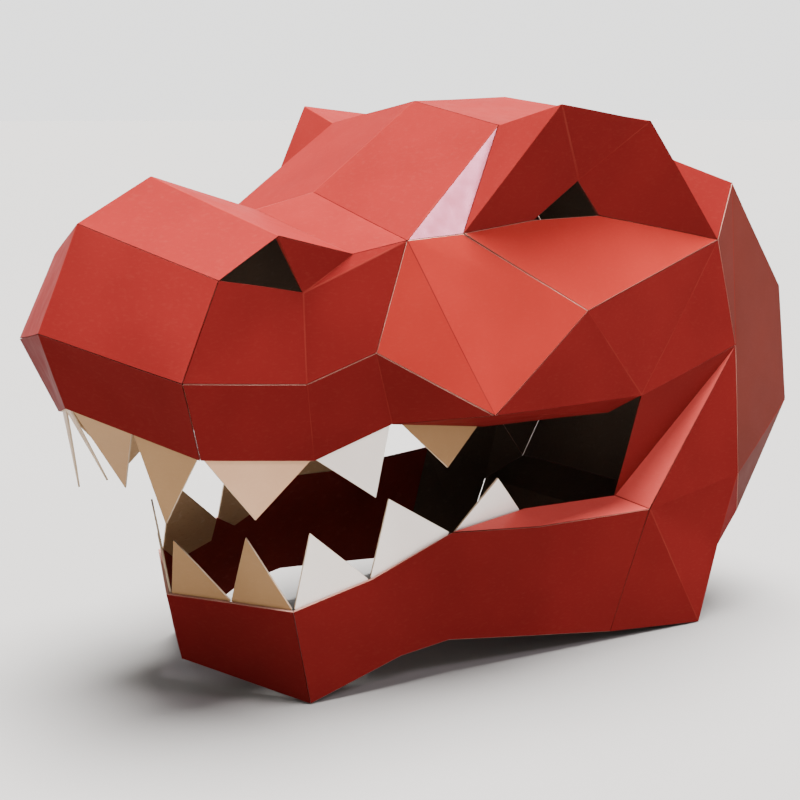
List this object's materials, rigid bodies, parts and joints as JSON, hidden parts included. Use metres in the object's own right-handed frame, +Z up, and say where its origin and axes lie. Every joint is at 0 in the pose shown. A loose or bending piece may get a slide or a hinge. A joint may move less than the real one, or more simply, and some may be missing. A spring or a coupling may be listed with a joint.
{
  "type": "cardboard dinosaur head mask",
  "caption": "Folded card dinosaur head mask: faceted skull, open toothed mouth, eye holes and nostrils, open below for the wearer's head.",
  "frame": {"origin": "middle of the head's width and length, on the surface that it stands on", "axes": "+Z up, -Y out of the snout, +X to the head's own left; x = 0 is the plane of symmetry"},
  "size_m": [0.2342, 0.4561, 0.3111],
  "materials": {
    "red_card": "matt red card with a faint sheen, pale at its cut edges",
    "pale_card": "matt off-white card, brown on its inner face"
  },
  "bodies": {
    "root": {"muzzle": "red_card", "front_lip": "red_card", "snout_top": "red_card", "bridge": "red_card", "forehead": "red_card", "skull_top": "red_card", "nape": "red_card", "neck": "red_card", "chin": "red_card", "snout_side_left": "red_card", "snout_side_right": "red_card", "side_lip_left": "red_card", "side_lip_right": "red_card", "brow_left": "red_card", "brow_right": "red_card", "eye_pouch_left": "red_card", "eye_pouch_right": "red_card", "cheek_left": "red_card", "cheek_right": "red_card", "jowl_left": "red_card", "jowl_right": "red_card", "upper_gum_left": "red_card", "upper_gum_right": "red_card", "lower_gum_left": "red_card", "lower_gum_right": "red_card", "nape_side_left": "red_card", "nape_side_right": "red_card", "jaw_side_left": "red_card", "jaw_side_right": "red_card", "jaw_rear_left": "red_card", "jaw_rear_right": "red_card", "upper_tooth_1_left": "pale_card", "upper_tooth_1_right": "pale_card", "upper_tooth_2_left": "pale_card", "upper_tooth_2_right": "pale_card", "upper_tooth_3_left": "pale_card", "upper_tooth_3_right": "pale_card", "upper_tooth_4_left": "pale_card", "upper_tooth_4_right": "pale_card", "upper_tooth_5_left": "pale_card", "upper_tooth_5_right": "pale_card", "lower_tooth_1_left": "pale_card", "lower_tooth_1_right": "pale_card", "lower_tooth_2_left": "pale_card", "lower_tooth_2_right": "pale_card", "lower_tooth_3_left": "pale_card", "lower_tooth_3_right": "pale_card", "lower_tooth_4_left": "pale_card", "lower_tooth_4_right": "pale_card", "lower_tooth_5_left": "pale_card", "lower_tooth_5_right": "pale_card"}
  },
  "joints": []
}
